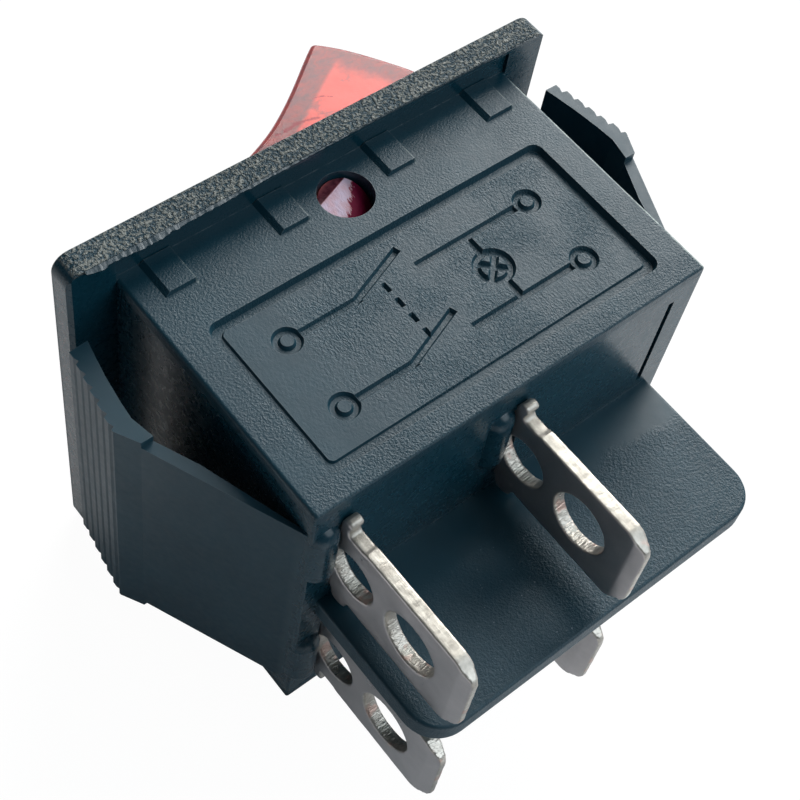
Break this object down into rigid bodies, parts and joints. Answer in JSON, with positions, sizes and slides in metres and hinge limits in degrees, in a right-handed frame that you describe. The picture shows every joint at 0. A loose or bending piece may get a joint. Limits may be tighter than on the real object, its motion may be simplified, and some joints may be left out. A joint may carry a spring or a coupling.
{
  "type": "rocker switch",
  "caption": "Panel-mount illuminated double-pole on-off rocker switch with a toothed snap-in housing, a red rocker and quick-connect tabs on both sides of a barrier.",
  "frame": {"origin": "centre of the flange's rear face, which seats on the panel", "axes": "+Y from the rocker towards the tabs, square to the panel; +X along the long side of the bezel, towards the end tabs; +Z the normal of the long side face"},
  "size_m": [0.0341, 0.0344, 0.0254],
  "materials": {
    "black_plastic": "spark-textured matte black, smooth on the rear face",
    "red_plastic": "translucent red, satin",
    "plated_brass": "tin-plated, fine rolling lines, worn edges",
    "contact_silver": "silver alloy, satin",
    "bridge_brass": "bare brass strip",
    "plunger_steel": "turned steel",
    "spring_steel": "drawn wire",
    "lamp_glass": "clear glass with an orange glow",
    "resistor_body": "lacquered",
    "lead_wire": "tinned wire",
    "sleeve": "soft woven sleeve"
  },
  "bodies": {
    "frame": {"housing": "black_plastic", "terminal_end_upper": "plated_brass", "terminal_end_lower": "plated_brass", "terminal_middle_upper": "plated_brass", "terminal_middle_lower": "plated_brass", "fixed_contact_upper": "contact_silver", "fixed_contact_lower": "contact_silver"},
    "rocker_assembly": {"rocker": "red_plastic", "plunger_spring_upper": "spring_steel", "plunger_spring_lower": "spring_steel", "neon_lamp": "lamp_glass", "resistor": "resistor_body", "lamp_lead_upper": "lead_wire", "lamp_link_lead": "lead_wire", "resistor_lead_lower": "lead_wire", "lead_sleeve": "sleeve"},
    "bridge_upper": {"contact_bridge_upper": "bridge_brass", "moving_contact_upper": "contact_silver"},
    "bridge_lower": {"contact_bridge_lower": "bridge_brass", "moving_contact_lower": "contact_silver"},
    "plunger_upper": {"plunger_upper": "plunger_steel"},
    "plunger_lower": {"plunger_lower": "plunger_steel"}
  },
  "joints": [
    {"name": "rocker_tilt", "type": "hinge", "parent": "frame", "child": "rocker_assembly", "pos_m": [0, 0.00195, 0], "axis": [0, 0, 1], "range_deg": [-40, 0]},
    {"name": "bridge_upper_rock", "type": "hinge", "parent": "frame", "child": "bridge_upper", "pos_m": [-0.00035, 0.01295, 0.00505], "axis": [0, 0, 1], "range_deg": [0, 13]},
    {"name": "bridge_lower_rock", "type": "hinge", "parent": "frame", "child": "bridge_lower", "pos_m": [-0.00035, 0.01295, -0.00505], "axis": [0, 0, 1], "range_deg": [0, 13]},
    {"name": "plunger_upper_slide", "type": "slide", "parent": "rocker_assembly", "child": "plunger_upper", "axis": [-0.342, 0.9397, 0], "range_m": [0, 0.0003], "stiffness_N_per_m": 600, "springref_m": 0.0012, "deforming": ["plunger_spring_upper"]},
    {"name": "plunger_lower_slide", "type": "slide", "parent": "rocker_assembly", "child": "plunger_lower", "axis": [-0.342, 0.9397, 0], "range_m": [0, 0.0003], "stiffness_N_per_m": 600, "springref_m": 0.0012, "deforming": ["plunger_spring_lower"]}
  ],
  "couplings": [
    {"joint": "bridge_upper_rock", "follows": "rocker_tilt", "ratio": -0.325},
    {"joint": "bridge_lower_rock", "follows": "rocker_tilt", "ratio": -0.325}
  ]
}
